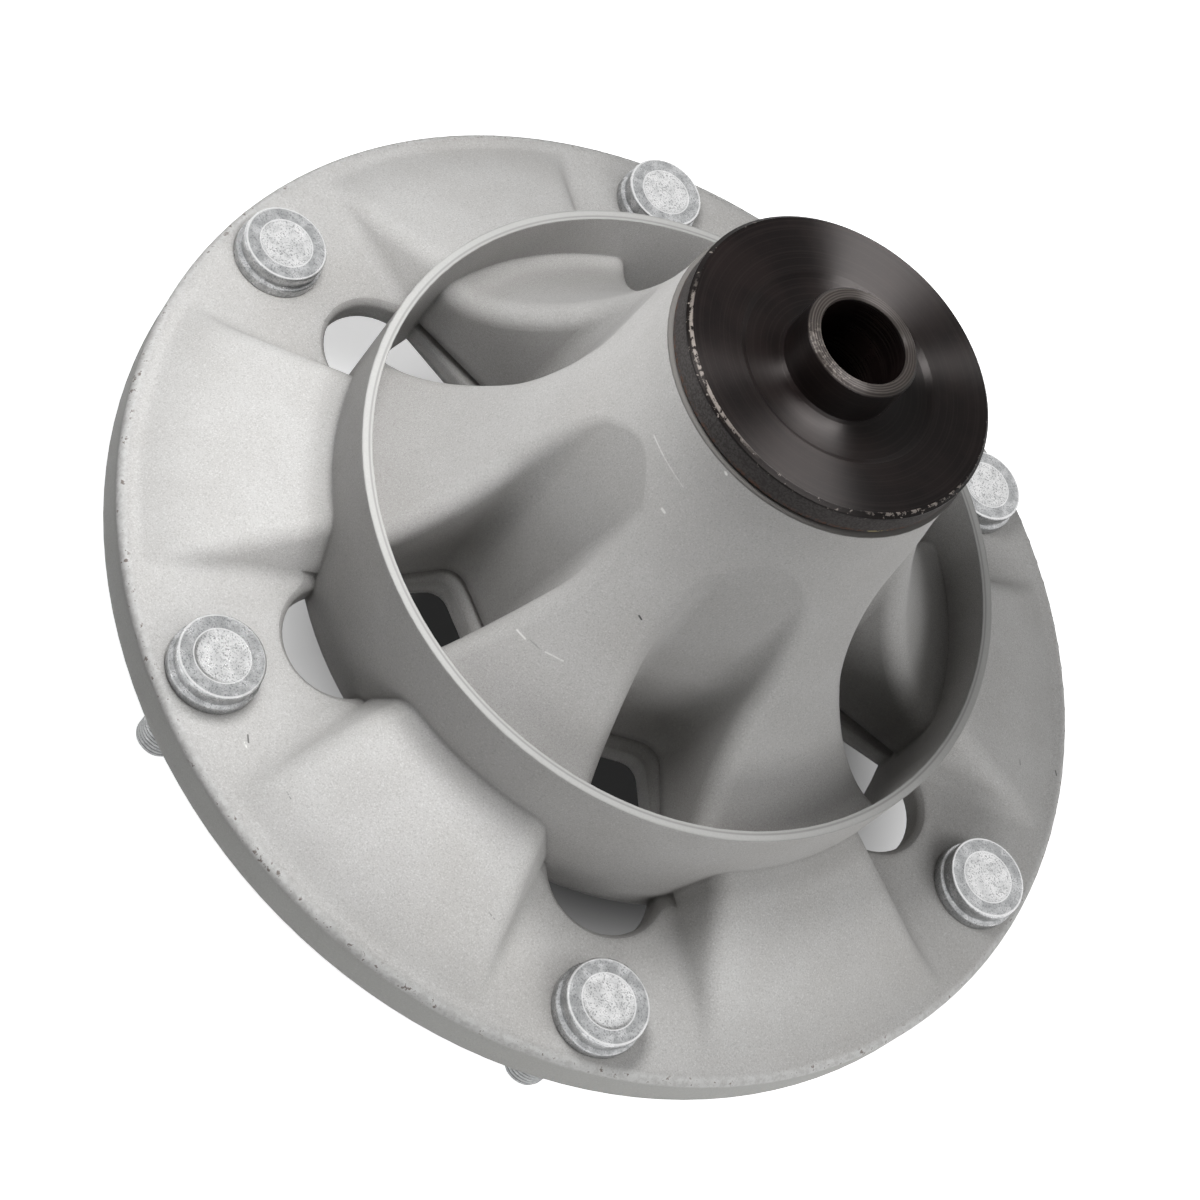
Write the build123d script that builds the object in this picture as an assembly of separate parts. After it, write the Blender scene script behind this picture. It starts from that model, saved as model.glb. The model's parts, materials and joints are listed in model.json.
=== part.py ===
from build123d import *
import math
import os

os.makedirs("parts", exist_ok=True)

# Mower deck spindle, millimetres. The origin is the centre of the face that
# bolts to the deck, and +Z runs along the spindle towards the blade end.

# Housing flange
flange_radius = 117.5
flange_thickness = 11.0
rim_round = 1.8
rim_chamfer = 0.8
bay_count = 6
bay_angle = 360 / bay_count

# Fans, the six raised pads between the studs outside the collar
fan_height = 25.4
fan_rim_land = 4.5
fan_draft = 27.0
fan_edge_round = 5.0
recess_half_width_in = 13.5
recess_half_width_out = 29.5
recess_floor_round = 4.0

# Collar, the thin round wall that stands between the arms and the fans
collar_outer_radius = 76.0
collar_wall = 2.3
collar_height = 42.0
collar_foot = 4.5

# Arms and hub inside the collar
saddle_height = 27.5
hub_top = 99.0
crest_fullness = 0.4
neck_wall = 9.2
pocket_top_land = 0.65
pocket_half_width_in = 9.4
pocket_half_width_out = 12.2
pocket_draft = 4.0
pocket_corner_round = 5.0
pocket_floor_round = 2.5
arm_edge_round = 4.4

# Windows through the pocket floors, under the collar
window_hub_step = 1.2
window_half_width_in = 8.6
window_corner_round = 4.5
window_end_inset = 2.2
window_end_radius = 13.0
window_flare = 1.2
window_flare_angle = 45.0

# Underside of the casting
land_width = 25.5
underside_recess = 5.0
hub_wall = 8.0
cavity_wall = 6.0
cavity_inner_step = 2.0
cavity_half_width_in = 6.0
cavity_half_width_out = 25.0
cavity_draft = 3.0
cavity_round = 3.0

# Studs pressed through the flange
stud_edge_distance = 12.8
stud_radius = 5.0
stud_tip_depth = 24.0
stud_tip_chamfer = 1.0
stud_neck_step = 0.25
stud_neck_runout = 0.5
stud_collar_step = 0.6
stud_collar_height = 2.4
stud_waist_inset = 0.3
stud_waist_rise = 0.6
stud_head_radius = 9.5
stud_head_height = 6.5
stud_head_chamfer = 0.5
stud_dish_radius = 6.2
stud_dish_depth = 0.35
stud_dish_bevel = 1.0
press_gap = 0.02

# Hollow spindle shaft with its blade flange
shaft_radius = 12.5
shaft_bore_radius = 9.6
shaft_end_past_collar = 6.0
shaft_chamfer = 0.8
bore_chamfer = 0.35
running_gap = 0.8
blade_flange_radius = 34.4
blade_flange_thickness = 6.1
blade_flange_chamfer = 0.8
dish_drop = 1.3
cove_width = 9.5
cove_slope_width = 1.4
cove_depth = 0.8
cove_sag = 0.3
cove_lip = 0.1
boss_height = 8.5
boss_foot_round = 0.6
shoulder_step = 4.0

# Deep-groove ball bearings, sealed on both sides
bearing_outer_radius = 26.0
bearing_width = 15.0
ball_count = 9
ball_radius = 3.95
ball_gap = 0.25
inner_land_drop = 2.15
outer_land_rise = 2.25
seal_seat_step = 1.5
seal_seat_depth = 1.9
seal_thickness = 1.0
seal_gap = 0.25
cage_land_gap = 1.1
cage_pocket_gap = 0.2
cage_bridge = 0.75

# Bearing seats in the hub
blade_bearing_depth = 4.5
pulley_bearing_bottom = 5.0
seat_shoulder = 3.0
lead_in_chamfer = 0.8

# Retaining rings that hold the bearings in their seats
clip_thickness = 2.0
clip_width = 4.2
clip_bite = 1.0
clip_groove_gap = 0.2
clip_side_gap = 0.1
clip_opening = 14.0
clip_lug_radius = 2.6
clip_lug_hole_radius = 1.25
clip_lug_step = 0.8
clip_lug_angle = 16.0

# Sleeve between the bearings and collar at the pulley end
sleeve_wall = 3.7
sleeve_gap = 0.05
pulley_collar_step = 7.5
pulley_collar_end = 14.0
pulley_collar_chamfer = 0.8

# Radii that follow from the sizes above
fan_end_radius = flange_radius - fan_rim_land
stud_circle_radius = flange_radius - stud_edge_distance
land_inner_radius = flange_radius - land_width
collar_inner_radius = collar_outer_radius - collar_wall
collar_mid_radius = collar_outer_radius - collar_wall / 2
hub_wall_radius = bearing_outer_radius + hub_wall
neck_radius = bearing_outer_radius + neck_wall
pocket_lean = (hub_top - flange_thickness) * math.tan(math.radians(pocket_draft))
hub_foot_radius = neck_radius + pocket_lean + pocket_top_land
window_inner_x = hub_foot_radius + window_hub_step
window_end_x = collar_outer_radius - window_end_inset
cavity_inner_x = hub_wall_radius + cavity_inner_step
stud_neck_radius = stud_radius + stud_neck_step
stud_collar_radius = stud_head_radius + stud_collar_step
cove_outer_radius = shaft_radius + cove_width
cove_step_radius = cove_outer_radius - cove_slope_width
shoulder_radius = shaft_radius + shoulder_step
sleeve_outer_radius = shaft_radius + sleeve_wall
pulley_collar_radius = shaft_radius + pulley_collar_step
ball_circle_radius = (shaft_radius + bearing_outer_radius) / 2
groove_radius = ball_radius + ball_gap
inner_land_radius = ball_circle_radius - inner_land_drop
outer_land_radius = ball_circle_radius + outer_land_rise
seal_seat_radius = outer_land_radius + seal_seat_step
cage_inner_radius = inner_land_radius + cage_land_gap
cage_outer_radius = outer_land_radius - cage_land_gap
shoulder_bore_radius = bearing_outer_radius - seat_shoulder
clip_outer_radius = bearing_outer_radius + clip_bite
clip_inner_radius = clip_outer_radius - clip_width
clip_groove_radius = clip_outer_radius + clip_groove_gap
clip_lug_circle_radius = clip_inner_radius + clip_lug_step

# Heights that follow from the sizes above
bay_floor = flange_thickness
flange_underside = hub_top + running_gap
blade_flange_top = flange_underside + blade_flange_thickness
boss_top = blade_flange_top + boss_height
blade_bearing_top = hub_top - blade_bearing_depth
blade_bearing_bottom = blade_bearing_top - bearing_width
pulley_bearing_top = pulley_bearing_bottom + bearing_width
shaft_end_depth = pulley_collar_end + shaft_end_past_collar
cage_half_height = ball_radius + cage_pocket_gap + cage_bridge

# Overlap that carries a cut clear of the face that it leaves
past = 5.0
tall = hub_top + 8 * past


def ring(outer, inner, bottom, top):
    """Plain round tube between two heights."""
    wall = Cylinder(outer, top - bottom, align=(Align.CENTER, Align.CENTER, Align.MIN))
    hole = Cylinder(inner, top - bottom + 2 * past, align=(Align.CENTER, Align.CENTER, Align.MIN))
    return Pos(0, 0, bottom) * (wall - Pos(0, 0, -past) * hole)


def disc(radius, bottom, top):
    """Plain round disc between two heights."""
    return Pos(0, 0, bottom) * Cylinder(
        radius, top - bottom, align=(Align.CENTER, Align.CENTER, Align.MIN)
    )


def turned(points):
    """Solid of revolution about Z from (radius, height) points."""
    return revolve(make_face(Plane.XZ * Polyline(*points, close=True)), Axis.Z)


def keystone(x_in, half_in, x_out, half_out):
    """Flat four-sided outline that widens away from the axis."""
    return make_face(
        Polyline((x_in, -half_in), (x_out, -half_out), (x_out, half_out), (x_in, half_in), close=True)
    )


def around(shape, start=0.0):
    """Six copies of a shape, one to each bay of the casting."""
    return [Rot(0, 0, start + bay_angle * k) * shape for k in range(bay_count)]


def fan_crest(radius):
    """Height of the fan's crest at a radius outside the collar."""
    slope = (fan_height - bay_floor) / (fan_end_radius - collar_mid_radius)
    return bay_floor + (fan_end_radius - radius) * slope


def arm_crest():
    """Crest line of an arm, swept down from the top of the hub to the collar."""
    drop = crest_fullness * (hub_top - saddle_height)
    reach = crest_fullness * (collar_inner_radius - neck_radius)
    return Bezier(
        (neck_radius, hub_top),
        (neck_radius, hub_top - drop),
        (collar_inner_radius - reach, saddle_height),
        (collar_inner_radius, saddle_height),
    )


def sloping(edge):
    """True where an edge climbs or falls on its way."""
    heights = [(edge @ share).Z for share in (0.2, 0.5, 0.8)]
    return max(heights) - min(heights) > 0.01


def fan_plate():
    """Flange plate with its fans, and the flat bays that hold the studs."""
    plate = turned(
        [
            (collar_mid_radius, 0),
            (flange_radius, 0),
            (flange_radius, bay_floor),
            (fan_end_radius, bay_floor),
            (collar_mid_radius, fan_height),
        ]
    )
    flare = (recess_half_width_out - recess_half_width_in) / (flange_radius - collar_mid_radius)
    inner_x = collar_mid_radius - past
    outer_x = flange_radius + past
    outline = keystone(
        inner_x,
        recess_half_width_in - past * flare,
        outer_x,
        recess_half_width_out + past * flare,
    )
    recess = extrude(outline, fan_height, taper=-fan_draft)
    sides = [edge for edge in recess.faces().sort_by(Axis.Z)[0].edges() if abs((edge @ 0.5).Y) > past]
    recess = Pos(0, 0, bay_floor) * fillet(sides, recess_floor_round)
    plate = plate - around(recess)
    crests = plate.faces().filter_by(GeomType.CONE)
    return fillet([edge for edge in crests.edges() if sloping(edge)], fan_edge_round)


def armed_hub():
    """Hub with six arms that flare out to the collar, and pockets between them."""
    section = Wire(
        [
            Line((0, 0), (collar_mid_radius, 0)),
            Line((collar_mid_radius, 0), (collar_mid_radius, saddle_height)),
            Line((collar_mid_radius, saddle_height), (collar_inner_radius, saddle_height)),
            arm_crest().edge(),
            Line((neck_radius, hub_top), (0, hub_top)),
            Line((0, hub_top), (0, 0)),
        ]
    )
    hub = revolve(Plane.XZ * make_face(section), Axis.Z)
    outer_x = collar_mid_radius + past
    outline = keystone(hub_foot_radius, pocket_half_width_in, outer_x, pocket_half_width_out)
    pocket = extrude(outline, hub_top, taper=-pocket_draft)
    corners = [
        edge
        for edge in pocket.edges()
        if (edge @ 0.5).X < hub_foot_radius + past and (edge @ 1).Z != (edge @ 0).Z
    ]
    pocket = fillet(corners, pocket_corner_round)
    foot = [
        edge
        for edge in pocket.faces().sort_by(Axis.Z)[0].edges()
        if (edge @ 0.5).X < outer_x - past / 2
    ]
    pocket = Pos(0, 0, bay_floor) * fillet(foot, pocket_floor_round)
    hub = hub - around(pocket)
    crests = hub.faces().filter_by(GeomType.REVOLUTION)
    return fillet([edge for edge in crests.edges() if sloping(edge)], arm_edge_round)


def window():
    """Through-opening in a bay floor, round at its outer end."""
    corner_x = window_inner_x + window_corner_round
    corner_y = window_half_width_in - window_corner_round
    circles = [
        Pos(window_end_x, 0) * Circle(window_end_radius),
        Pos(corner_x, corner_y) * Circle(window_corner_round),
        Pos(corner_x, -corner_y) * Circle(window_corner_round),
    ]
    outline = make_hull([edge for circle in circles for edge in circle.edges()])
    straight = Pos(0, 0, -past) * extrude(outline, bay_floor + past)
    flared = extrude(outline, pocket_floor_round + window_flare, taper=-window_flare_angle)
    return straight + Pos(0, 0, bay_floor - window_flare) * flared


def arm_cavity():
    """Hollow under one arm and its fan, open at the underside."""
    across = collar_inner_radius - neck_radius + cavity_wall
    down = hub_top - saddle_height + cavity_wall
    root_radius = collar_inner_radius - cavity_wall
    start_share = (collar_inner_radius - hub_wall_radius) / across
    end_share = cavity_wall / across
    start_turn = math.degrees(math.acos(start_share))
    end_turn = math.degrees(math.acos(end_share))
    crest = EllipticalCenterArc(
        (collar_inner_radius, hub_top),
        across,
        down,
        start_angle=180 + start_turn,
        arc_size=end_turn - start_turn,
    )
    under_fan = (root_radius + land_inner_radius) / 2
    points = [
        crest @ 1,
        Vector(under_fan, fan_crest(under_fan) - cavity_wall),
        Vector(land_inner_radius, fan_crest(land_inner_radius) - cavity_wall),
        Vector(land_inner_radius, -past),
        Vector(hub_wall_radius, -past),
        crest @ 0,
    ]
    lines = [Line(points[k], points[k + 1]) for k in range(len(points) - 1)]
    swept = revolve(Plane.XZ * make_face(Wire([crest.edge(), *lines])), Axis.Z)
    outline = keystone(
        cavity_inner_x, cavity_half_width_in, land_inner_radius + past, cavity_half_width_out
    )
    outline = fillet(outline.vertices().sort_by(Axis.X)[0:2], cavity_round)
    wedge = Pos(0, 0, -past) * extrude(outline, hub_top, taper=cavity_draft)
    return swept & wedge


def clip_groove(bottom):
    """Groove for a retaining ring, open to the bearing seat."""
    return disc(clip_groove_radius, bottom - clip_side_gap, bottom + clip_thickness + clip_side_gap)


def bearing_seats():
    """Everything bored out of the hub for the two bearings."""
    top_chamfer = Pos(0, 0, hub_top - lead_in_chamfer) * Cone(
        bearing_outer_radius,
        bearing_outer_radius + lead_in_chamfer,
        lead_in_chamfer,
        align=(Align.CENTER, Align.CENTER, Align.MIN),
    )
    bottom_chamfer = Cone(
        bearing_outer_radius + lead_in_chamfer,
        bearing_outer_radius,
        lead_in_chamfer,
        align=(Align.CENTER, Align.CENTER, Align.MIN),
    )
    return [
        disc(bearing_outer_radius + press_gap, blade_bearing_bottom, tall),
        disc(bearing_outer_radius + press_gap, -past, pulley_bearing_top),
        disc(shoulder_bore_radius, -past, tall),
        clip_groove(blade_bearing_top),
        clip_groove(pulley_bearing_bottom - clip_thickness),
        top_chamfer,
        bottom_chamfer,
    ]


def housing():
    """The one-piece aluminium casting."""
    body = fan_plate() + armed_hub()
    rim = [
        edge
        for edge in body.edges().filter_by(GeomType.CIRCLE)
        if abs(edge.radius - flange_radius) < 0.01
    ]
    body = fillet([edge for edge in rim if (edge @ 0.5).Z > bay_floor / 2], rim_round)
    rim = [
        edge
        for edge in body.edges().filter_by(GeomType.CIRCLE)
        if abs(edge.radius - flange_radius) < 0.01
    ]
    body = chamfer([edge for edge in rim if (edge @ 0.5).Z < bay_floor / 2], rim_chamfer)
    body = body - around(window())
    recess = ring(land_inner_radius, hub_wall_radius, -past, underside_recess)
    body = body - recess
    body = body + ring(collar_outer_radius, collar_inner_radius, collar_foot, collar_height)
    body = body - around(arm_cavity(), bay_angle / 2) - bearing_seats()
    bolt_hole = disc(stud_neck_radius + press_gap, -past, tall)
    return body - around(Pos(stud_circle_radius, 0, 0) * bolt_hole)


def stud():
    """Round-headed stud with a pressed neck and a threaded end."""
    seat = bay_floor
    head_top = seat + stud_head_height
    points = [
        (0, -stud_tip_depth),
        (stud_radius - stud_tip_chamfer, -stud_tip_depth),
        (stud_radius, stud_tip_chamfer - stud_tip_depth),
        (stud_radius, 0),
        (stud_neck_radius, stud_neck_runout),
        (stud_neck_radius, seat),
        (stud_collar_radius, seat),
        (stud_collar_radius, seat + stud_collar_height),
        (stud_head_radius - stud_waist_inset, seat + stud_collar_height + stud_waist_rise),
        (stud_head_radius, head_top - 2 * stud_head_chamfer),
        (stud_head_radius - stud_head_chamfer, head_top),
        (stud_dish_radius, head_top),
        (stud_dish_radius - stud_dish_bevel, head_top - stud_dish_depth),
        (0, head_top - stud_dish_depth),
    ]
    return turned(points)


def shaft():
    """Hollow spindle with the blade flange and pilot boss turned on it."""
    face_rim = blade_flange_radius - blade_flange_chamfer
    face_low = blade_flange_top - dish_drop
    cove_low = face_low - cove_depth
    foot = shaft_radius + boss_foot_round
    outline = [
        (shaft_bore_radius, -shaft_end_depth + bore_chamfer),
        (shaft_bore_radius + bore_chamfer, -shaft_end_depth),
        (shaft_radius - shaft_chamfer, -shaft_end_depth),
        (shaft_radius, -shaft_end_depth + shaft_chamfer),
        (shaft_radius, blade_bearing_top),
        (shoulder_radius, blade_bearing_top),
        (shoulder_radius, flange_underside),
        (blade_flange_radius, flange_underside),
        (blade_flange_radius, blade_flange_top - blade_flange_chamfer),
        (face_rim, blade_flange_top),
        (cove_outer_radius, face_low),
        (cove_step_radius, cove_low),
    ]
    cove = ThreePointArc(
        (cove_step_radius, cove_low),
        ((cove_step_radius + foot) / 2, cove_low - cove_sag),
        (foot, cove_low + cove_lip),
    )
    upper = [
        (foot, cove_low + cove_lip),
        (shaft_radius, cove_low + cove_lip + boss_foot_round),
        (shaft_radius, boss_top - shaft_chamfer),
        (shaft_radius - shaft_chamfer, boss_top),
        (shaft_bore_radius + bore_chamfer, boss_top),
        (shaft_bore_radius, boss_top - bore_chamfer),
        (shaft_bore_radius, -shaft_end_depth + bore_chamfer),
    ]
    section = Wire([*Polyline(*outline).edges(), cove.edge(), *Polyline(*upper).edges()])
    return revolve(Plane.XZ * make_face(section), Axis.Z)


def bearing(bottom):
    """Pieces of one sealed ball bearing, by name, with its lower face at a height."""
    middle = bottom + bearing_width / 2
    top = bottom + bearing_width
    groove = Pos(0, 0, middle) * Torus(ball_circle_radius, groove_radius)
    outer = ring(bearing_outer_radius, outer_land_radius, bottom, top)
    outer = outer - groove
    outer = outer - ring(seal_seat_radius, inner_land_radius, bottom - past, bottom + seal_seat_depth)
    outer = outer - ring(seal_seat_radius, inner_land_radius, top - seal_seat_depth, top + past)
    inner = ring(inner_land_radius, shaft_radius + press_gap, bottom, top) - groove
    ball = Pos(ball_circle_radius, 0, middle) * Sphere(ball_radius)
    drill = Cylinder(ball_radius + cage_pocket_gap, bearing_width)
    pocket = Pos(ball_circle_radius, 0, middle) * Rot(0, 90, 0) * drill
    turns = [Rot(0, 0, 360 / ball_count * k) for k in range(ball_count)]
    cage = ring(cage_outer_radius, cage_inner_radius, middle - cage_half_height, middle + cage_half_height)
    cage = cage - [turn * pocket for turn in turns]
    lip = inner_land_radius + seal_gap
    seat = seal_seat_radius - press_gap
    low_seal = bottom + (seal_seat_depth - seal_thickness) / 2
    high_seal = top - (seal_seat_depth - seal_thickness) / 2 - seal_thickness
    return {
        "outer_ring": outer,
        "inner_ring": inner,
        "balls": Compound([turn * ball for turn in turns]),
        "cage": cage,
        "lower_seal": ring(seat, lip, low_seal, low_seal + seal_thickness),
        "upper_seal": ring(seat, lip, high_seal, high_seal + seal_thickness),
    }


def retaining_ring(bottom):
    """Internal snap ring with two drilled lugs at its gap."""
    top = bottom + clip_thickness
    body = ring(clip_outer_radius, clip_inner_radius, bottom, top)
    reach = 2 * clip_outer_radius
    half_width = reach * math.tan(math.radians(clip_opening / 2))
    gap = make_face(Polyline((0, 0), (reach, -half_width), (reach, half_width), close=True))
    body = body - Pos(0, 0, bottom - past) * extrude(gap, clip_thickness + 2 * past)
    for side in (-1, 1):
        place = Rot(0, 0, side * clip_lug_angle) * Pos(clip_lug_circle_radius, 0, 0)
        body = body + place * disc(clip_lug_radius, bottom, top)
        body = body - place * disc(clip_lug_hole_radius, bottom - past, top + past)
    return body


def spacer_sleeve():
    """Tube that keeps the two inner rings apart."""
    return ring(sleeve_outer_radius, shaft_radius + sleeve_gap, pulley_bearing_top, blade_bearing_bottom)


def pulley_collar():
    """Stepped collar that the pulley is clamped against."""
    bore = shaft_radius + sleeve_gap
    points = [
        (bore, pulley_bearing_bottom),
        (shoulder_radius, pulley_bearing_bottom),
        (shoulder_radius, -running_gap),
        (pulley_collar_radius, -running_gap),
        (pulley_collar_radius, pulley_collar_chamfer - pulley_collar_end),
        (pulley_collar_radius - pulley_collar_chamfer, -pulley_collar_end),
        (bore, -pulley_collar_end),
    ]
    return turned(points)


nodes = {
    "housing": housing(),
    "mounting_studs": Compound(around(Pos(stud_circle_radius, 0, 0) * stud())),
    "spindle_shaft": shaft(),
    "bearing_spacer": spacer_sleeve(),
    "pulley_collar": pulley_collar(),
    "blade_end_retaining_ring": retaining_ring(blade_bearing_top),
    "pulley_end_retaining_ring": retaining_ring(pulley_bearing_bottom - clip_thickness),
}
for place, height in (("blade", blade_bearing_bottom), ("pulley", pulley_bearing_bottom)):
    for piece, solid in bearing(height).items():
        nodes[f"{place}_bearing_{piece}"] = solid

for name, solid in nodes.items():
    export_step(solid, f"parts/{name}.step")
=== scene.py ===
import json
import math

import bmesh
import bpy
from mathutils import Euler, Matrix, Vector


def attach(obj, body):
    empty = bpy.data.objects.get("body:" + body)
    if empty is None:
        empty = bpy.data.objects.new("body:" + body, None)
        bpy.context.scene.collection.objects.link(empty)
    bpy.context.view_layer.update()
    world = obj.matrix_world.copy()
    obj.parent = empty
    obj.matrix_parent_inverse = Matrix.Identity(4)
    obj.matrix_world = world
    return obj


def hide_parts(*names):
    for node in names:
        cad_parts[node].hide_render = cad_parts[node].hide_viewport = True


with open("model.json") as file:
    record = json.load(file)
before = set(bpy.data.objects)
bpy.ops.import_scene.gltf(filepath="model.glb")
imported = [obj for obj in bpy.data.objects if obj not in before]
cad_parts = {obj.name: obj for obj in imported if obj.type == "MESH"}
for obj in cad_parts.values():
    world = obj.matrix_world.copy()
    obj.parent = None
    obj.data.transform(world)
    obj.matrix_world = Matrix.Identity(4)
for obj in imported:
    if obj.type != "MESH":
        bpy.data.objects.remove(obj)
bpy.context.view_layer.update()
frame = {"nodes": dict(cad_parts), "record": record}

# Sizes and places are metres in the CAD frame, unless the comment above them says millimetres.
MM = 0.001

# Places on the part, from the CAD sizes
FLANGE_R = 117.5 * MM
FLANGE_TOP = 11.0 * MM
COLLAR_R = 76.0 * MM
COLLAR_INNER_R = 73.7 * MM
COLLAR_LINE_R = 74.4 * MM
COLLAR_TOP = 42.0 * MM
HUB_TOP = 99.0 * MM
STUD_CIRCLE_R = 104.7 * MM
STUD_TIP = 24.0 * MM
STUD_COUNT = 6
STUD_DISH = 17.15 * MM
DISC_R = 34.4 * MM
DISC_TOP = 105.9 * MM
DISC_BOTTOM = 99.8 * MM
BOSS_R = 12.5 * MM
BOSS_TOP = 114.4 * MM

# Steps round a stud, and the turn in radians from one stud to the next
STUD_TURN_STEPS = 56
STUD_TWIST = 1.3

# Stud's outline from the dish in the head down to the neck, (radius, height) in millimetres
STUD_DISH_RINGS = (
    (1.8, 17.22), (3.6, 17.18), (4.9, 17.10), (5.35, 17.12), (5.75, 17.34), (5.95, 17.46))
STUD_FACE_RINGS = (
    (6.15, 17.49), (6.4, 17.45), (6.9, 17.44), (8.3, 17.44), (8.8, 17.46), (9.02, 17.5))
STUD_SIDE_RINGS = (
    (9.22, 17.47), (9.40, 17.34), (9.49, 17.1), (9.5, 16.6), (9.42, 15.3), (9.3, 14.3), (9.22, 13.95))
STUD_FOOT_RINGS = (
    (9.3, 13.75), (9.75, 13.62), (9.98, 13.5), (10.08, 13.25), (10.1, 12.9), (10.1, 11.4), (10.05, 11.12))
STUD_NECK_RINGS = (
    (9.9, 11.02), (5.25, 11.02), (5.25, 0.5), (5.0, 0.2), (4.9, -0.2))
STUD_OUTLINE = STUD_DISH_RINGS + STUD_FACE_RINGS + STUD_SIDE_RINGS + STUD_FOOT_RINGS + STUD_NECK_RINGS

# Stud thread in millimetres; its flats are a share of half a pitch
THREAD_TOP = -0.4
THREAD_END = -23.0
THREAD_PITCH = 1.25
THREAD_ROWS = 6
THREAD_CREST_R = 4.98
THREAD_ROOT_R = 4.28
THREAD_FLAT = 0.12
THREAD_TIP = ((4.35, -23.35), (4.1, -23.8), (3.85, -24.0))

# Bright rings on each stud's head, partly rub wear and partly painted highlight, (radius, half width)
HEAD_RIM = (9.15 * MM, 0.28 * MM)
DISH_RIM = (6.1 * MM, 0.2 * MM)

# Widths of the surface's unevenness
CAST_GRAIN = 0.34 * MM
CAST_SPECK = 0.8 * MM
CAST_BLOTCH = 14 * MM
CAST_STAIN = 38 * MM
CAST_WAVE = 5 * MM
CAST_RAGGED = 1.6 * MM
# Reach of the painted shade in the pockets
POCKET_REACH = 34 * MM
ZINC_DENT = 0.34 * MM
ZINC_PATCH = 2.8 * MM
OXIDE_CLOUD = 11 * MM
OXIDE_GRAIN = 0.5 * MM
OXIDE_PIT = 1.1 * MM
TURNING_PITCH = 0.55 * MM
EDGE_SOFTNESS = 0.2 * MM

# Rays that the shaders send out for each sample, to find pockets and edges
PROBE_SAMPLES = 3

# Marks seen in the photo: start, end, half width in millimetres, and how light the mark is
MARKS = (
    ((-18.0, -31.5, 87.7), (-12.8, -34.1, 87.4), 0.26, 0.62),
    ((-12.8, -34.1, 87.4), (-7.2, -35.6, 87.0), 0.22, 0.58),
    ((-12.0, -34.3, 86.6), (-9.6, -35.2, 85.0), 0.20, 0.58),
    ((-11.8, -54.3, 41.3), (-8.6, -54.9, 41.6), 0.30, 0.70),
    ((-8.4, -54.6, 42.1), (-5.8, -54.8, 42.3), 0.24, 0.30),
    ((-4.6, -54.6, 42.6), (-0.7, -54.0, 43.6), 0.24, 0.66),
    ((-7.2, -37.3, 79.8), (-6.4, -37.4, 79.7), 0.45, 0.70),
    ((-3.4, -35.1, 97.8), (-3.0, -35.1, 97.6), 0.45, 0.80),
    ((4.2, -44.9, 59.6), (5.0, -44.9, 59.3), 0.30, 0.07),
    ((-38.0, -96.6, 11.0), (-36.9, -97.8, 11.0), 0.26, 0.16),
    ((-37.4, -98.4, 11.0), (-36.6, -98.9, 11.0), 0.28, 0.80),
    ((-24.6, -102.2, 13.9), (-23.0, -102.8, 13.9), 0.18, 0.30),
    ((22.0, -93.8, 17.2), (23.8, -94.0, 17.1), 0.18, 0.28),
    ((106.4, 42.8, 11.0), (107.2, 42.0, 11.0), 0.26, 0.22),
    ((96.8, 34.6, 14.7), (97.6, 33.6, 14.6), 0.24, 0.24),
)

# Grease spot at the disc's foot
GREASE_FROM = (25.4 * MM, -24.0 * MM, 99.9 * MM)
GREASE_TO = (28.6 * MM, -20.4 * MM, 99.9 * MM)
GREASE_HALF_WIDTH = 0.9 * MM

# Camera, found from the ellipses of the flange, collar and disc in the photo
CAMERA_AT = (-29.57 * MM, -401.89 * MM, 507.91 * MM)
CAMERA_TURN = (29.053, -26.160, 34.274)
CAMERA_LENS = 86.03
CAMERA_SENSOR = 36.0

# Floor: its reach, its grey, and the ends of the shade under the part
FLOOR_REACH = 6.0
FLOOR_GREY = (0.75, 0.75, 0.75, 1)
FLOOR_WHITE = 0.98
SHADE_CENTRE = (15 * MM, 0, 0)
SHADE_ENDS = (48 * MM, 98 * MM)
SHADE_DARK = 0.03
RIM_SHADE_ENDS = (FLANGE_R - 18 * MM, FLANGE_R - 11 * MM)
RIM_SHADE_DARK = 0.62
ROOM_LIGHT = 0.03

# Lamps: azimuth, elevation, distance, width, power, and the place that they face
PART_MIDDLE = (0, 0, 0.03)
DISC_MIDDLE = (0, 0, 0.1)
LEFT_FAN = (-0.095, -0.038, 0)
LAMPS = {
    "key": (180, 90, 0.22, 0.10, 0.52, LEFT_FAN),
    "front": (315, 15, 0.9, 0.40, 2.3, PART_MIDDLE),
    "side": (0, 45, 0.9, 0.40, 1.8, PART_MIDDLE),
    "top": (0, 70, 0.9, 0.40, 0.9, PART_MIDDLE),
}
SHEEN_LAMPS = {
    "sheen": (28, 77, 0.9, 0.40, 46.0, DISC_MIDDLE),
    "glint": (180, 60, 0.9, 0.20, 15.0, DISC_MIDDLE),
}


# Shader helpers

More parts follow.
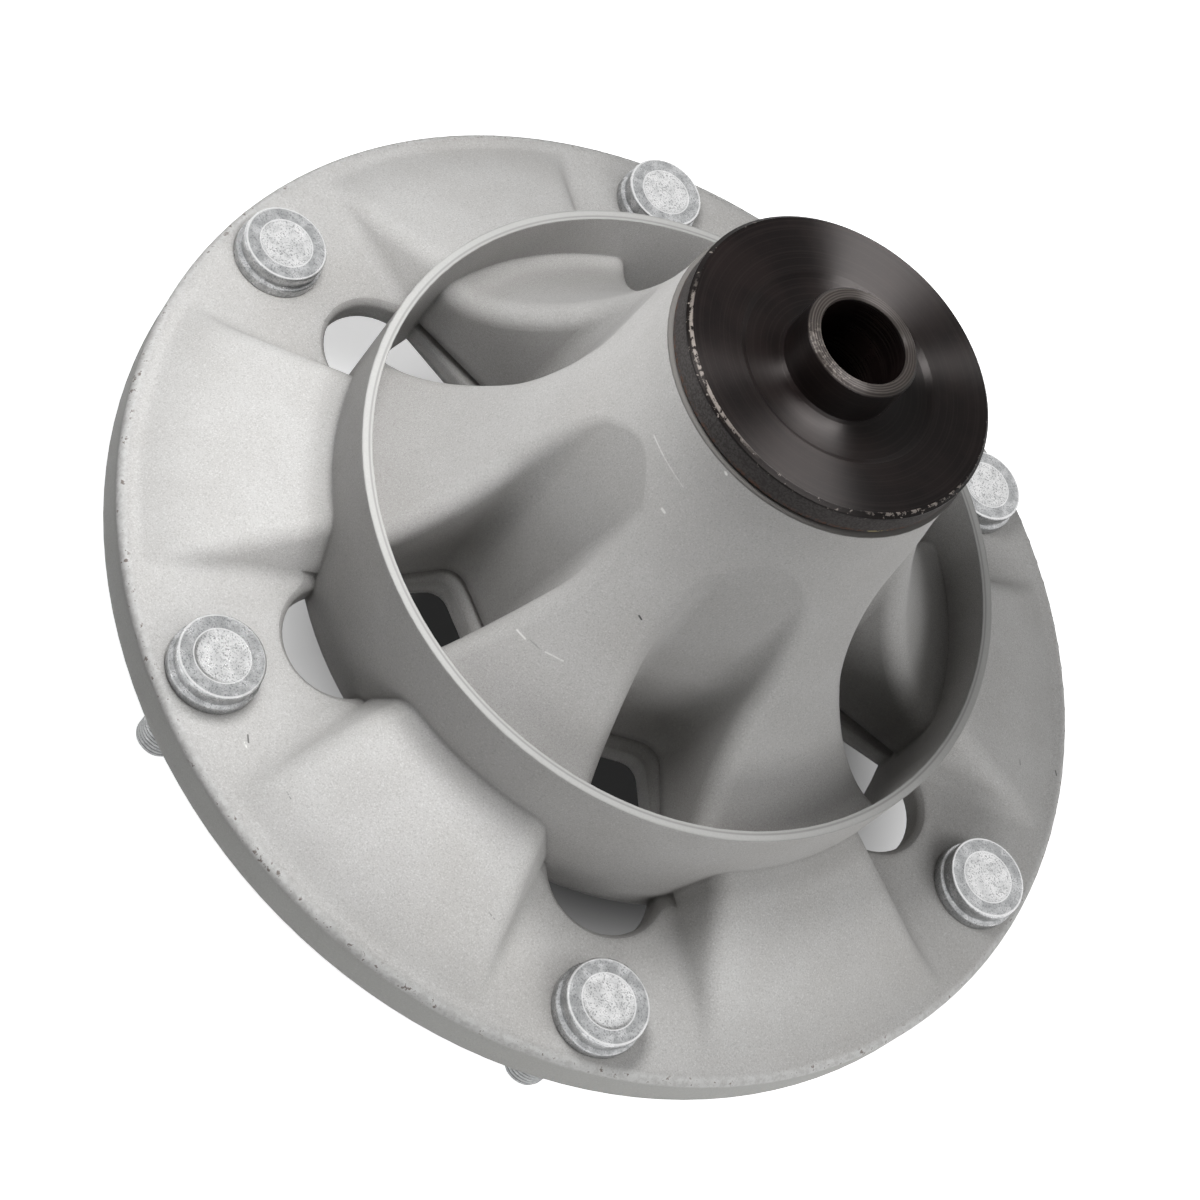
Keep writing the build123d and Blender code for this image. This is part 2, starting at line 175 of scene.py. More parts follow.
class Nodes:
    """Short calls for one material's node tree."""

    def __init__(self, name):
        self.material = bpy.data.materials.new(name)
        self.material.use_nodes = True
        self.tree = self.material.node_tree
        self.shader = self.tree.nodes["Principled BSDF"]
        self.place = self.tree.nodes.new("ShaderNodeTexCoord").outputs["Object"]
        parts = self.tree.nodes.new("ShaderNodeSeparateXYZ")
        self.link(self.place, parts.inputs[0])
        self.x, self.y, self.z = parts.outputs
        self.radius = self.length(self.x, self.y)

    def link(self, out, socket):
        if hasattr(out, "node"):
            self.tree.links.new(out, socket)
        else:
            socket.default_value = out

    def math(self, operation, a, b=0.0, clamp=False):
        node = self.tree.nodes.new("ShaderNodeMath")
        node.operation = operation
        node.use_clamp = clamp
        self.link(a, node.inputs[0])
        self.link(b, node.inputs[1])
        return node.outputs[0]

    def length(self, a, b):
        """Length of the flat vector (a, b)."""
        squares = [self.math("MULTIPLY", side, side) for side in (a, b)]
        return self.math("SQRT", self.math("ADD", *squares))

    def scaled(self, mask, share):
        """The mask at a share of its strength."""
        return self.math("MULTIPLY", mask, share)

    def noise(self, feature, detail=2.0, roughness=0.5, place=None):
        """Noise whose blotches are about `feature` metres wide."""
        node = self.tree.nodes.new("ShaderNodeTexNoise")
        node.inputs["Scale"].default_value = 1 / feature
        node.inputs["Detail"].default_value = detail
        node.inputs["Roughness"].default_value = roughness
        self.link(place or self.place, node.inputs["Vector"])
        return node.outputs["Fac"]

    def open_sky(self, reach):
        """1 in the open, towards 0 deep in a pocket no wider than `reach` metres."""
        node = self.tree.nodes.new("ShaderNodeAmbientOcclusion")
        node.samples = PROBE_SAMPLES
        node.inputs["Distance"].default_value = reach
        return node.outputs["AO"]

    def ring_place(self):
        """Coordinates that change only with the distance from the shaft's line and the height."""
        node = self.tree.nodes.new("ShaderNodeCombineXYZ")
        self.link(self.radius, node.inputs[0])
        self.link(self.z, node.inputs[1])
        return node.outputs[0]

    def stud_axis_gap(self):
        """Distance from the nearest stud's axis."""
        turn = self.math("ARCTAN2", self.y, self.x)
        pitch = 2 * math.pi / STUD_COUNT
        place = self.math("ROUND", self.math("MULTIPLY", turn, 1 / pitch))
        folded = self.math("SUBTRACT", turn, self.math("MULTIPLY", place, pitch))
        outward = self.math("MULTIPLY", self.radius, self.math("COSINE", folded))
        along = self.math("SUBTRACT", outward, STUD_CIRCLE_R)
        across = self.math("MULTIPLY", self.radius, self.math("SINE", folded))
        return self.length(along, across)

    def azimuth(self, degrees, half_width):
        """1 on the side of the part that faces `degrees`, fading to 0 over `half_width` degrees."""
        turn = self.math("ARCTAN2", self.y, self.x)
        away = self.math("SUBTRACT", turn, math.radians(degrees))
        near = self.math("COSINE", away)
        return self.between(near, math.cos(math.radians(half_width)), 1.0)

    def between(self, value, low, high):
        """0 below low, 1 above high, smooth in between; low may be the larger."""
        node = self.tree.nodes.new("ShaderNodeMapRange")
        node.interpolation_type = "SMOOTHSTEP"
        self.link(value, node.inputs["Value"])
        if low < high:
            ends = (low, high, 0.0, 1.0)
        else:
            ends = (high, low, 1.0, 0.0)
        for socket, end in zip(("From Min", "From Max", "To Min", "To Max"), ends):
            node.inputs[socket].default_value = end
        return node.outputs[0]

    def ring(self, gap, middle, half, core):
        """1 within `core` of the middle, fading to 0 at `half` from it."""
        return self.both(self.between(gap, middle - half, middle - core),
                         self.between(gap, middle + half, middle + core))

    def level(self, value, low, high):
        """Carries 0..1 to low..high."""
        return self.math("ADD", self.math("MULTIPLY", value, high - low), low)

    def both(self, *masks):
        out = masks[0]
        for mask in masks[1:]:
            out = self.math("MULTIPLY", out, mask)
        return out

    def most(self, *masks):
        out = masks[0]
        for mask in masks[1:]:
            out = self.math("MAXIMUM", out, mask)
        return out

    def blend(self, amount, a, b):
        """Colour a where the amount is 0, b where it is 1."""
        node = self.tree.nodes.new("ShaderNodeMix")
        node.data_type = "RGBA"
        self.link(amount, node.inputs[0])
        for value, socket in ((a, node.inputs[6]), (b, node.inputs[7])):
            if isinstance(value, tuple):
                socket.default_value = (*value, 1.0)
            else:
                self.link(value, socket)
        return node.outputs[2]

    def bump(self, height, distance, strength=1.0, under=None):
        node = self.tree.nodes.new("ShaderNodeBump")
        node.inputs["Strength"].default_value = strength
        node.inputs["Distance"].default_value = distance
        self.link(height, node.inputs["Height"])
        if under is not None:
            self.link(under, node.inputs["Normal"])
        return node.outputs[0]

    def soft_edges(self, width):
        """Surface direction with the edges rounded off over `width` metres."""
        node = self.tree.nodes.new("ShaderNodeBevel")
        node.samples = PROBE_SAMPLES
        self.link(width, node.inputs["Radius"])
        return node.outputs[0]

    def finish(self, colour, metallic, roughness, normal):
        """Sets the shader's main sockets, each with a link or a plain value."""
        names = ("Base Color", "Metallic", "Roughness", "Normal")
        for name, value in zip(names, (colour, metallic, roughness, normal)):
            self.link(value, self.shader.inputs[name])
        return self.material

    def segment(self, a, b, width):
        """1 on a thin straight mark from a to b, in metres."""
        start, end = Vector(a), Vector(b)
        line = end - start
        away = self.vector("SUBTRACT", self.place, tuple(start))
        along = self.tree.nodes.new("ShaderNodeVectorMath")
        along.operation = "DOT_PRODUCT"
        self.link(away, along.inputs[0])
        along.inputs[1].default_value = tuple(line / line.length_squared)
        share = self.math("ADD", along.outputs["Value"], 0.0, clamp=True)
        foot = self.tree.nodes.new("ShaderNodeVectorMath")
        foot.operation = "SCALE"
        foot.inputs[0].default_value = tuple(line)
        self.link(share, foot.inputs["Scale"])
        gap = self.vector("SUBTRACT", away, foot.outputs[0])
        size = self.tree.nodes.new("ShaderNodeVectorMath")
        size.operation = "LENGTH"
        self.link(gap, size.inputs[0])
        return self.between(size.outputs["Value"], width, width * 0.35)

    def vector(self, operation, a, b):
        node = self.tree.nodes.new("ShaderNodeVectorMath")
        node.operation = operation
        for value, socket in ((a, node.inputs[0]), (b, node.inputs[1])):
            self.link(value, socket)
        return node.outputs[0]


# Materials

def cast_aluminium():
    """Sandblasted casting: fine grain with painted glints, soft stains, painted shade in the pockets, on
    the bay floors, collar wall and arms and under the disc, bright worn rims, a few marks.
    """
    n = Nodes("cast_aluminium")
    grain = n.noise(CAST_GRAIN, 2.0, 0.6)
    ragged = n.noise(CAST_RAGGED, 3.0, 0.65)
    flange_edge = n.both(n.between(n.radius, FLANGE_R - 2.2 * MM, FLANGE_R - 0.9 * MM),
                         n.between(n.z, FLANGE_TOP - 2.4 * MM, FLANGE_TOP - 1.0 * MM))
    bright = n.both(flange_edge, n.level(n.between(ragged, 0.40, 0.56), 0.3, 0.8))
    colour = blasted_skin(n, grain)
    # Painted shade on the bay floors, collar wall, arms, hub lip and pockets.
    colour = cast_painted_shade(n, colour)
    colour = n.blend(bright, colour, (0.74, 0.74, 0.73))
    colour = machined_rim(n, flange_edge, ragged, colour)
    colour = photo_marks(n, ragged, colour)

    lip = n.level(n.between(n.z, COLLAR_TOP - 12 * MM, COLLAR_TOP - 20 * MM), 0.7 * MM, 3.0 * MM)
    fine_bump = n.bump(grain, 0.09 * MM, 0.5, under=n.soft_edges(lip))
    normal = n.bump(n.noise(CAST_WAVE, 2.0, 0.5), 0.25 * MM, 0.25, under=fine_bump)
    n.shader.inputs["Specular IOR Level"].default_value = 0.12
    return n.finish(colour, 0.0, n.level(bright, 0.62, 0.42), normal)


def blasted_skin(n, grain):
    """Two close greys in soft blotches, a warmer stain, dark specks, and light grains that are painted
    glints.
    """
    blotch = n.between(n.noise(CAST_BLOTCH, 3.0, 0.55), 0.3, 0.7)
    stain = n.between(n.noise(CAST_STAIN, 2.0, 0.5), 0.5, 0.75)
    coarse = n.noise(CAST_SPECK, 2.0, 0.5)
    speck = n.both(n.between(grain, 0.52, 0.68), n.level(coarse, 0.2, 0.6))
    # Painted glints: light grains where the blasted surface would catch the light.
    painted_glint_grain = n.between(grain, 0.44, 0.32)
    colour = n.blend(blotch, (0.575, 0.567, 0.555), (0.612, 0.606, 0.596))
    colour = n.blend(n.scaled(stain, 0.5), colour, (0.56, 0.545, 0.525))
    colour = n.blend(speck, colour, (0.33, 0.32, 0.31))
    return n.blend(n.scaled(painted_glint_grain, 0.4), colour, (0.86, 0.86, 0.85))


def cast_painted_shade(n, colour):
    """Painted shade: darker bay floors, collar wall and arms, a dark line of painted shade on the hub's
    lip under the disc, and painted shade deep in the pockets.
    """
    bay_floor = n.both(n.between(n.z, FLANGE_TOP + 5 * MM, FLANGE_TOP + 0.2 * MM),
                       n.between(n.radius, COLLAR_R + 1 * MM, COLLAR_R + 4 * MM))
    collar_wall = n.both(n.between(n.radius, COLLAR_R - 1.2 * MM, COLLAR_R - 0.6 * MM),
                         n.between(n.radius, COLLAR_R + 7 * MM, COLLAR_R + 2 * MM),
                         n.between(n.z, COLLAR_TOP - 0.1 * MM, COLLAR_TOP - 0.6 * MM))
    arms = n.both(n.between(n.radius, COLLAR_INNER_R - 1.5 * MM, COLLAR_INNER_R - 6 * MM),
                  n.level(n.between(n.z, COLLAR_TOP - 15 * MM, HUB_TOP), 1.0, 1.3))
    # Painted shade: the bay floors, collar wall and arms are darkened for how the light falls on them.
    painted_tone_shade = n.most(n.scaled(bay_floor, 0.13), n.scaled(n.most(collar_wall, arms), 0.27))
    # The hub's lip under the disc, darkened as painted shade.
    hub_lip = n.between(n.z, HUB_TOP - 0.5 * MM, HUB_TOP - 0.2 * MM)
    # Painted shade deep in the pockets, darker where less open sky is seen.
    pocket_shade = n.between(n.open_sky(POCKET_REACH), 0.62, 0.12)
    colour = n.blend(painted_tone_shade, colour, (0.18, 0.175, 0.17))
    colour = n.blend(n.scaled(hub_lip, 0.9), colour, (0.10, 0.095, 0.09))
    return n.blend(n.scaled(pocket_shade, 0.78), colour, (0.12, 0.112, 0.105))


def machined_rim(n, flange_edge, ragged, colour):
    """The collar's turned top with its fine line, and the flange's grey side and chipped edge."""
    rim_top = n.both(n.between(n.z, COLLAR_TOP - 0.35 * MM, COLLAR_TOP - 0.1 * MM),
                     n.between(n.radius, COLLAR_INNER_R - 1.5 * MM, COLLAR_INNER_R - 1.0 * MM))
    rim_line = n.both(rim_top, n.ring(n.radius, COLLAR_LINE_R, 0.35 * MM, 0.1 * MM))
    side = n.both(n.between(n.radius, FLANGE_R - 0.5 * MM, FLANGE_R - 0.2 * MM),
                  n.between(n.z, FLANGE_TOP - 1.2 * MM, FLANGE_TOP - 2.6 * MM))
    chips = n.both(flange_edge, n.between(ragged, 0.60, 0.66))
    colour = n.blend(n.scaled(rim_top, 0.8), colour, (0.43, 0.43, 0.42))
    colour = n.blend(n.scaled(side, 0.5), colour, (0.42, 0.425, 0.405))
    colour = n.blend(n.scaled(chips, 0.8), colour, (0.16, 0.12, 0.10))
    return n.blend(n.scaled(rim_line, 0.6), colour, (0.24, 0.235, 0.23))


def photo_marks(n, ragged, colour):
    """Scratches, dents and chips, each a short broken line."""
    broken = n.between(ragged, 0.34, 0.46)
    for start, end, width, light in MARKS:
        line = n.segment([a * MM for a in start], [a * MM for a in end], width * MM)
        colour = n.blend(n.both(line, broken), colour, (light, light, light * 0.97))
    return colour


def zinc_plate():
    """Bright zinc: dull speckled ring round a dish lightened as a painted reflection, bright rings at the
    rims that are partly rub wear and partly painted highlight, and painted shade in the thread's roots.
    """
    n = Nodes("zinc_plate")
    dents = n.noise(ZINC_DENT, 3.0, 0.6)
    patch = n.between(n.noise(ZINC_PATCH, 3.0, 0.6), 0.36, 0.64)
    axis_gap = n.stud_axis_gap()
    on_head = n.between(n.z, STUD_DISH - 0.6 * MM, STUD_DISH - 0.3 * MM)
    dish = n.both(on_head, n.between(axis_gap, 6.2 * MM, 5.7 * MM))
    speck = n.between(dents, 0.53, 0.62)
    rims = n.both(on_head, n.most(*[n.ring(axis_gap, middle, half, half / 2)
                                    for middle, half in (HEAD_RIM, DISH_RIM)]))
    shank = n.between(n.z, 0.5 * MM, -0.5 * MM)
    root = n.both(shank, n.between(axis_gap, (THREAD_CREST_R - 0.15) * MM, (THREAD_ROOT_R + 0.1) * MM))

    colour = n.blend(patch, (0.40, 0.405, 0.41), (0.58, 0.585, 0.59))
    # Painted reflection: the dish is made lighter.
    colour = n.blend(n.both(dish, n.level(patch, 0.65, 1.0)), colour, (0.80, 0.80, 0.80))
    colour = n.blend(n.scaled(speck, 0.7), colour, (0.17, 0.175, 0.18))
    # Rims made lighter, partly rub wear and partly painted highlight.
    colour = n.blend(n.scaled(rims, 0.7), colour, (0.92, 0.92, 0.92))
    colour = n.blend(n.scaled(shank, 0.5), colour, (0.36, 0.37, 0.37))
    # Painted shade in the thread's roots.
    colour = n.blend(root, colour, (0.05, 0.05, 0.05))
    normal = n.bump(dents, 0.06 * MM, 0.9, under=n.soft_edges(EDGE_SOFTNESS))
    return n.finish(colour, 0.9, n.level(patch, 0.42, 0.26), normal)


def black_oxide():
    """Turned steel, blackened: brown-black with a circular sheen, rims lightened partly by wear and
    partly as painted highlight, and a trace of rust.
    """
    n = Nodes("black_oxide")
    fine = n.noise(OXIDE_GRAIN, 3.0, 0.6)
    grooves = n.noise(OXIDE_GRAIN, 2.0, 0.6, place=n.ring_place())
    ragged = n.noise(OXIDE_PIT, 3.0, 0.7)
    wall = n.both(n.between(n.radius, DISC_R - 0.35 * MM, DISC_R - 0.15 * MM),
                  n.between(n.z, DISC_TOP - 0.9 * MM, DISC_TOP - 1.3 * MM))
    wall_grey = n.blend(n.between(fine, 0.4, 0.6), (0.036, 0.033, 0.032), (0.058, 0.054, 0.053))
    colour = n.blend(wall, oxide_skin(n, grooves), wall_grey)
    colour = turned_wear_and_highlights(n, ragged, colour)
    colour = foot_stains(n, ragged, colour)

    bore = n.both(n.between(n.radius, BOSS_R - 2.2 * MM, BOSS_R - 2.6 * MM),
                  n.between(n.z, BOSS_TOP - 0.9 * MM, BOSS_TOP - 1.5 * MM))
    unevenness = n.math("ADD", n.scaled(fine, 0.4), n.scaled(grooves, 0.6))
    rough = n.most(n.level(unevenness, 0.27, 0.40), n.scaled(wall, 0.7))
    rough = n.both(rough, n.level(bore, 1.0, 0.35))
    normal = n.bump(fine, 0.05 * MM, 0.35, under=n.soft_edges(EDGE_SOFTNESS))
    circular_sheen(n)
    return n.finish(colour, 0.0, rough, normal)


def oxide_skin(n, grooves):
    """Brown-black clouds with lighter turning grooves and dark pits."""
    cloud = n.between(n.noise(OXIDE_CLOUD, 3.0, 0.55), 0.35, 0.65)
    pits = n.between(n.noise(OXIDE_PIT, 2.0, 0.6), 0.66, 0.74)
    colour = n.blend(cloud, (0.0024, 0.0016, 0.0016), (0.0056, 0.0036, 0.0034))
    colour = n.blend(n.scaled(n.between(grooves, 0.5, 0.62), 0.3), colour, (0.014, 0.011, 0.010))
    return n.blend(n.scaled(pits, 0.5), colour, (0.002, 0.0015, 0.0015))


def turned_wear_and_highlights(n, ragged, colour):
    """Dark chamfer, its edge lightened on two sides as rub wear and painted highlight, and the boss's end
    with turning rings and a lighter patch on its near side, partly scuffs and partly painted highlight.
    """
    chamfer = n.both(n.between(n.radius, DISC_R - 1.1 * MM, DISC_R - 0.7 * MM),
                     n.between(n.z, DISC_TOP - 1.5 * MM, DISC_TOP - 1.0 * MM))
    edge_line = n.both(n.between(n.radius, DISC_R - 1.15 * MM, DISC_R - 1.0 * MM),
                       n.between(n.z, DISC_TOP - 0.45 * MM, DISC_TOP - 0.25 * MM))
    # The edge lightened on two sides: partly rub wear, partly painted highlight.
    rubbed_and_highlit = n.most(n.both(edge_line, n.azimuth(232, 40), n.between(ragged, 0.40, 0.50)),
                    n.both(edge_line, n.azimuth(335, 30), n.between(ragged, 0.50, 0.56)),
                    n.both(chamfer, n.between(ragged, 0.61, 0.67)))
    boss_end = n.both(n.between(n.z, BOSS_TOP - 0.7 * MM, BOSS_TOP - 0.35 * MM),
                      n.between(n.radius, BOSS_R + 2 * MM, BOSS_R + 1 * MM))
    wave = n.math("SINE", n.math("MULTIPLY", n.radius, 2 * math.pi / TURNING_PITCH))
    turned = n.between(wave, -0.6, 0.8)
    # A lighter patch on one side of the boss's end: partly scuffs, partly painted highlight.
    scuffed_and_highlit = n.both(n.azimuth(250, 60), n.between(ragged, 0.50, 0.58), n.level(turned, 0.2, 0.5))
    # Turning rings, with the lightened edge and patch that are partly painted highlight.
    worn = n.most(n.scaled(rubbed_and_highlit, 0.6),
                  n.both(boss_end, n.level(turned, 0.06, 0.17)),
                  n.both(boss_end, scuffed_and_highlit))
    colour = n.blend(n.scaled(chamfer, 0.6), colour, (0.003, 0.0022, 0.002))
    return n.blend(worn, colour, (0.30, 0.265, 0.24))


def foot_stains(n, ragged, colour):
    """Rust round the disc's foot and one spot of grease."""
    foot = n.both(n.between(n.radius, DISC_R - 2.5 * MM, DISC_R - 1.5 * MM),
                  n.between(n.z, DISC_BOTTOM + 1.1 * MM, DISC_BOTTOM + 0.2 * MM))
    rust = n.both(foot, n.between(ragged, 0.46, 0.58))
    grease = n.segment(GREASE_FROM, GREASE_TO, GREASE_HALF_WIDTH)
    colour = n.blend(n.scaled(rust, 0.7), colour, (0.10, 0.045, 0.025))
    return n.blend(n.both(grease, n.between(ragged, 0.42, 0.5)), colour, (0.34, 0.30, 0.17))


def circular_sheen(n):
    """Highlights that spread across fine turned grooves round the shaft's line."""
    tangent = n.tree.nodes.new("ShaderNodeTangent")
    tangent.direction_type = "RADIAL"
    tangent.axis = "Z"
    n.link(tangent.outputs[0], n.shader.inputs["Tangent"])
    n.shader.inputs["Specular IOR Level"].default_value = 0.09
    n.shader.inputs["Specular Tint"].default_value = (1.0, 0.93, 0.91, 1.0)
    n.shader.inputs["Anisotropic"].default_value = 0.98
    n.shader.inputs["Anisotropic Rotation"].default_value = 0.25


def plain_metal(name, colour, dark, roughness):
    """Turned or ground steel with fine unevenness."""
    n = Nodes(name)
    fine = n.noise(0.8 * MM, 2.0, 0.6)
    blotch = n.noise(9 * MM, 2.0, 0.5)
    mixed = n.blend(n.between(blotch, 0.3, 0.7), dark, colour)
    rough = n.level(fine, roughness - 0.05, roughness + 0.08)
    normal = n.bump(fine, 0.03 * MM, 0.4, under=n.soft_edges(EDGE_SOFTNESS))
    return n.finish(mixed, 1.0, rough, normal)


def moulded(name, colour, dark, roughness):
    """Moulded plastic or rubber."""
    n = Nodes(name)
    fine = n.noise(0.7 * MM, 2.0, 0.6)
    mixed = n.blend(n.between(n.noise(6 * MM), 0.35, 0.65), dark, colour)
    normal = n.bump(fine, 0.04 * MM, 0.4)
    return n.finish(mixed, 0.0, roughness, normal)


materials = {
    "cast": cast_aluminium(),
    "zinc": zinc_plate(),
    "black_steel": black_oxide(),
    "bearing_steel": plain_metal("bearing_steel", (0.62, 0.62, 0.62), (0.50, 0.50, 0.50), 0.22),
    "ball_steel": plain_metal("ball_steel", (0.78, 0.78, 0.78), (0.72, 0.72, 0.72), 0.10),
    "plain_steel": plain_metal("plain_steel", (0.44, 0.43, 0.42), (0.34, 0.33, 0.32), 0.38),
    "spring_steel": plain_metal("spring_steel", (0.10, 0.10, 0.10), (0.06, 0.06, 0.06), 0.42),
    "cage_plastic": moulded("cage_plastic", (0.62, 0.56, 0.40), (0.52, 0.46, 0.32), 0.45),
    "seal_rubber": moulded("seal_rubber", (0.022, 0.022, 0.022), (0.014, 0.014, 0.014), 0.5),
}
slots = {row["node"]: row["material_slot"] for row in frame["record"]["subparts"]}
for node_name, node in frame["nodes"].items():
    wanted = materials[slots[node_name]]
    if not node.material_slots:
        node.data.materials.append(wanted)
    for slot in node.material_slots:
        slot.material = wanted


# Studs: the CAD node's shape with the thread and the rounded head edges added

def stud_ring(shape, centre, turn, radius, height, lead=None):
    """One ring of a stud; with a lead, the radius follows the thread's ridge at each angle."""
    ring = []
    for step in range(STUD_TURN_STEPS):
        share = step / STUD_TURN_STEPS
        angle = 2 * math.pi * share + turn
        reach = radius if lead is None else thread_radius(height / lead - share)
        ring.append(shape.verts.new((centre[0] + reach * MM * math.cos(angle),
                                     centre[1] + reach * MM * math.sin(angle), height * MM)))
    return ring


def thread_radius(phase):
    """Radius over one pitch: a narrow flat root and crest, and two straight flanks between them."""
    away = abs(phase % 1.0 - 0.5) * 2
    rise = min(1.0, max(0.0, (away - THREAD_FLAT) / (1 - 2 * THREAD_FLAT)))
    return THREAD_ROOT_R + (THREAD_CREST_R - THREAD_ROOT_R) * rise


def add_stud(shape, centre, turn):
    """One closed stud round its own upright axis."""
    rings = [stud_ring(shape, centre, turn, radius, height) for radius, height in STUD_OUTLINE]
    rows = round((THREAD_TOP - THREAD_END) / THREAD_PITCH * THREAD_ROWS)
    for row in range(rows + 1):
        height = THREAD_TOP + (THREAD_END - THREAD_TOP) * row / rows
        rings.append(stud_ring(shape, centre, turn, 0, height, THREAD_PITCH))
    rings += [stud_ring(shape, centre, turn, radius, height) for radius, height in THREAD_TIP]
    for upper, lower in zip(rings, rings[1:]):
        for step in range(STUD_TURN_STEPS):
            after = (step + 1) % STUD_TURN_STEPS
            shape.faces.new((upper[step], lower[step], lower[after], upper[after]))
    top = shape.verts.new((centre[0], centre[1], (STUD_OUTLINE[0][1] + 0.01) * MM))
    tip = shape.verts.new((centre[0], centre[1], -STUD_TIP))
    for step in range(STUD_TURN_STEPS):
        after = (step + 1) % STUD_TURN_STEPS
        shape.faces.new((top, rings[0][step], rings[0][after]))
        shape.faces.new((tip, rings[-1][after], rings[-1][step]))


def build_studs():
    """All studs in one piece, which stands in for the plain CAD node."""
    shape = bmesh.new()
    for place in range(STUD_COUNT):
        angle = 2 * math.pi * place / STUD_COUNT
        centre = (STUD_CIRCLE_R * math.cos(angle), STUD_CIRCLE_R * math.sin(angle))
        add_stud(shape, centre, STUD_TWIST * place)
    bmesh.ops.recalc_face_normals(shape, faces=shape.faces)
    mesh = bpy.data.meshes.new("threaded_studs")
    shape.to_mesh(mesh)
    shape.free()
    mesh.shade_smooth()
    piece = bpy.data.objects.new("threaded_studs", mesh)
    bpy.context.scene.collection.objects.link(piece)
    mesh.materials.append(materials["zinc"])
    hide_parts("mounting_studs")
    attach(piece, "housing")


# Floor, light and camera

def stage_floor():
    """Pale floor that looks white to the camera and is dark below the part."""
    mesh = bpy.data.meshes.new("floor")
    corners = [(x * FLOOR_REACH, y * FLOOR_REACH, 0) for x, y in ((-1, -1), (1, -1), (1, 1), (-1, 1))]
    mesh.from_pydata(corners, [], [(0, 1, 2, 3)])
    mesh.materials.append(floor_material())
    floor = bpy.data.objects.new("floor", mesh)
    floor.location.z = -STUD_TIP
    bpy.context.scene.collection.objects.link(floor)


def floor_material():
    """Plain grey for the light that it throws back; the camera sees it with its own light added."""
    material = bpy.data.materials.new("floor")
    material.use_nodes = True
    tree = material.node_tree
    tree.nodes.clear()
    output = tree.nodes.new("ShaderNodeOutputMaterial")
    plain = tree.nodes.new("ShaderNodeBsdfDiffuse")
    plain.inputs["Color"].default_value = FLOOR_GREY
    lit = tree.nodes.new("ShaderNodeBsdfDiffuse")
    glow = tree.nodes.new("ShaderNodeEmission")
    shade = shade_under_part(tree)
    tree.links.new(shade, glow.inputs["Strength"])
    tree.links.new(shade, lit.inputs["Color"])
    both = tree.nodes.new("ShaderNodeAddShader")
    tree.links.new(lit.outputs[0], both.inputs[0])
    tree.links.new(glow.outputs[0], both.inputs[1])
    mix = tree.nodes.new("ShaderNodeMixShader")
    tree.links.new(seen_rays(tree), mix.inputs[0])
    tree.links.new(plain.outputs[0], mix.inputs[1])
    tree.links.new(both.outputs[0], mix.inputs[2])
    tree.links.new(mix.outputs[0], output.inputs["Surface"])
    return material


def shade_under_part(tree):
    """Share of white on the floor: dark below the middle of the part, nearly 1 beyond its rim."""
    middle = distance_ramp(tree, SHADE_CENTRE, SHADE_ENDS, SHADE_DARK)
    rim = distance_ramp(tree, (0, 0, 0), RIM_SHADE_ENDS, RIM_SHADE_DARK)
    node = tree.nodes.new("ShaderNodeMath")
    node.operation = "MULTIPLY"
    tree.links.new(middle, node.inputs[0])
    tree.links.new(rim, node.inputs[1])
    return node.outputs[0]


def distance_ramp(tree, centre, ends, low):
    """low up to the first distance from the centre on the floor, white past the second."""
    place = tree.nodes.new("ShaderNodeTexCoord")
    away = tree.nodes.new("ShaderNodeVectorMath")
    away.operation = "DISTANCE"
    tree.links.new(place.outputs["Object"], away.inputs[0])
    away.inputs[1].default_value = centre
    ramp = tree.nodes.new("ShaderNodeMapRange")
    ramp.interpolation_type = "SMOOTHSTEP"
    tree.links.new(away.outputs["Value"], ramp.inputs["Value"])
    for name, value in zip(("From Min", "From Max", "To Min", "To Max"), (*ends, low, FLOOR_WHITE)):
        ramp.inputs[name].default_value = value
    return ramp.outputs[0]


def seen_rays(tree):
    """1 for the rays that show the background: camera, glossy and transmission."""
    path = tree.nodes.new("ShaderNodeLightPath")
    total = path.outputs["Is Camera Ray"]
    for name in ("Is Glossy Ray", "Is Transmission Ray"):
        node = tree.nodes.new("ShaderNodeMath")
        node.operation = "MAXIMUM"
        tree.links.new(total, node.inputs[0])
        tree.links.new(path.outputs[name], node.inputs[1])
        total = node.outputs[0]
    return total


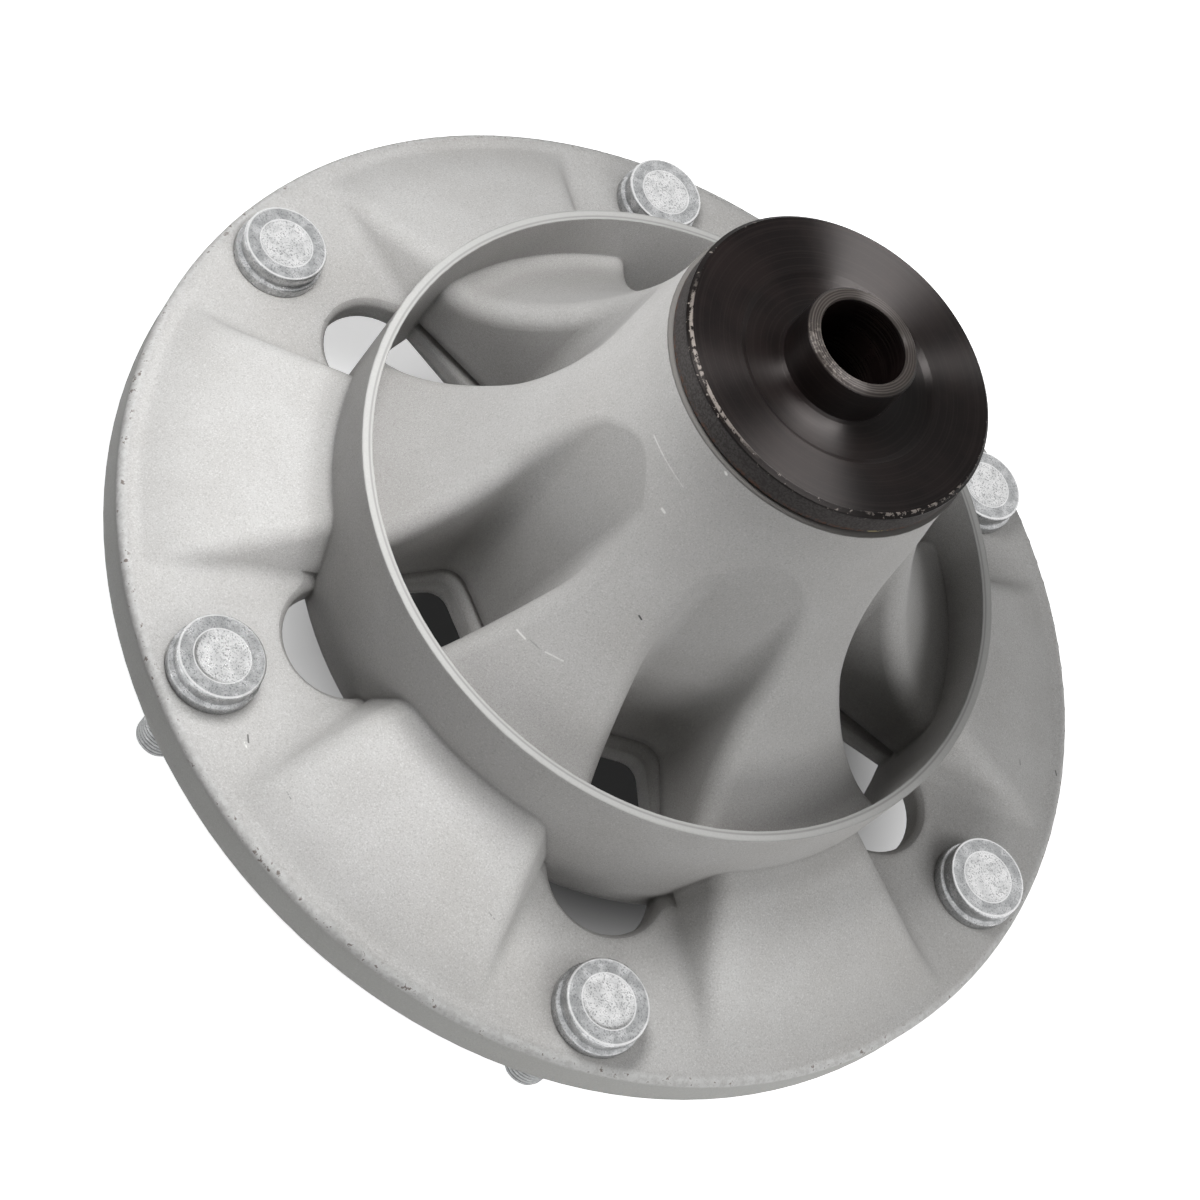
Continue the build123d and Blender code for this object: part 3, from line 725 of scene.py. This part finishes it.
def stage_world():
    """White to the camera and a dim even light for the part."""
    world = bpy.data.worlds.new("studio")
    bpy.context.scene.world = world
    world.use_nodes = True
    tree = world.node_tree
    tree.nodes.clear()
    output = tree.nodes.new("ShaderNodeOutputWorld")
    dim = tree.nodes.new("ShaderNodeBackground")
    dim.inputs["Color"].default_value = (1, 1, 1, 1)
    dim.inputs["Strength"].default_value = ROOM_LIGHT
    white = tree.nodes.new("ShaderNodeBackground")
    white.inputs["Color"].default_value = (1, 1, 1, 1)
    white.inputs["Strength"].default_value = 1.0
    mix = tree.nodes.new("ShaderNodeMixShader")
    tree.links.new(seen_rays(tree), mix.inputs[0])
    tree.links.new(dim.outputs[0], mix.inputs[1])
    tree.links.new(white.outputs[0], mix.inputs[2])
    tree.links.new(mix.outputs[0], output.inputs["Surface"])


def area_light(name, azimuth, elevation, distance, size, power, target):
    """Square soft light at an angle round the target, aimed at it."""
    az, el = math.radians(azimuth), math.radians(elevation)
    aim = Vector(target)
    outward = Vector((math.cos(el) * math.cos(az), math.cos(el) * math.sin(az), math.sin(el)))
    light = bpy.data.lights.new(name, "AREA")
    light.shape = "SQUARE"
    light.size = size
    light.energy = power
    lamp = bpy.data.objects.new(name, light)
    lamp.visible_camera = False
    lamp.location = aim + distance * outward
    lamp.rotation_euler = outward.to_track_quat("Z", "Y").to_euler()
    bpy.context.scene.collection.objects.link(lamp)
    return lamp


def stage_lights():
    """Soft lamps for the whole part, and two that only show as sheen on the turned shaft."""
    for name, values in LAMPS.items():
        area_light(name, *values).visible_glossy = False
    turned_only = bpy.data.collections.new("turned_only")
    turned_only.objects.link(frame["nodes"]["spindle_shaft"])
    for name, values in SHEEN_LAMPS.items():
        lamp = area_light(name, *values)
        lamp.visible_diffuse = False
        lamp.light_linking.receiver_collection = turned_only


def stage_camera():
    """The photo's camera."""
    camera = bpy.data.cameras.new("camera")
    camera.lens = CAMERA_LENS
    camera.sensor_width = CAMERA_SENSOR
    camera.clip_start = 0.01
    holder = bpy.data.objects.new("camera", camera)
    holder.location = CAMERA_AT
    holder.rotation_euler = Euler([math.radians(a) for a in CAMERA_TURN], "XYZ")
    bpy.context.scene.collection.objects.link(holder)
    bpy.context.scene.camera = holder


build_studs()
stage_floor()
stage_world()
stage_camera()
stage_lights()
bpy.context.scene.view_settings.view_transform = "Standard"
